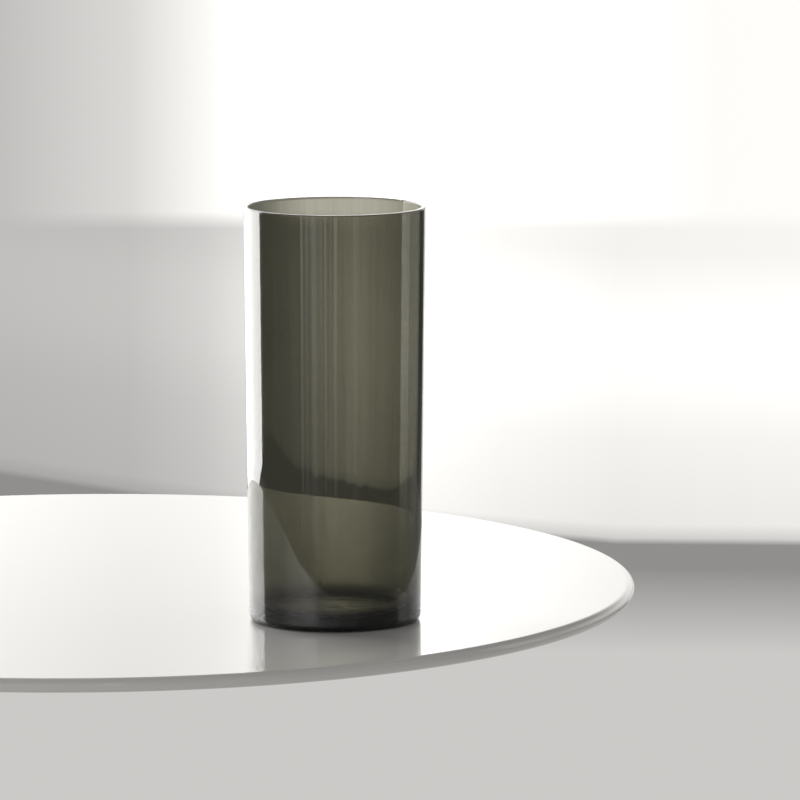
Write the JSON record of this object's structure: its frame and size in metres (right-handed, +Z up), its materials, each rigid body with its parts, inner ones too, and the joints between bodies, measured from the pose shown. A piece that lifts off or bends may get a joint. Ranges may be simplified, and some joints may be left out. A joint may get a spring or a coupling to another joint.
{
  "type": "cylinder vase",
  "caption": "Tall open cylinder of smoke-grey glass with a polished, round-edged lip and a heavy flat floor, for holding cut stems and water.",
  "frame": {"origin": "on the vase's axis, in the plane that it stands on", "axes": "+Z up along the vase's axis; the vase is round, so +X and +Y are any two level directions at right angles"},
  "size_m": [0.131, 0.131, 0.3],
  "materials": {
    "smoke_glass": "clear smoke-grey glass, glossy and polished"
  },
  "bodies": {
    "root": {"floor_disc": "smoke_glass", "heel_ring": "smoke_glass", "cylinder_wall": "smoke_glass", "rim_lip": "smoke_glass"}
  },
  "joints": []
}
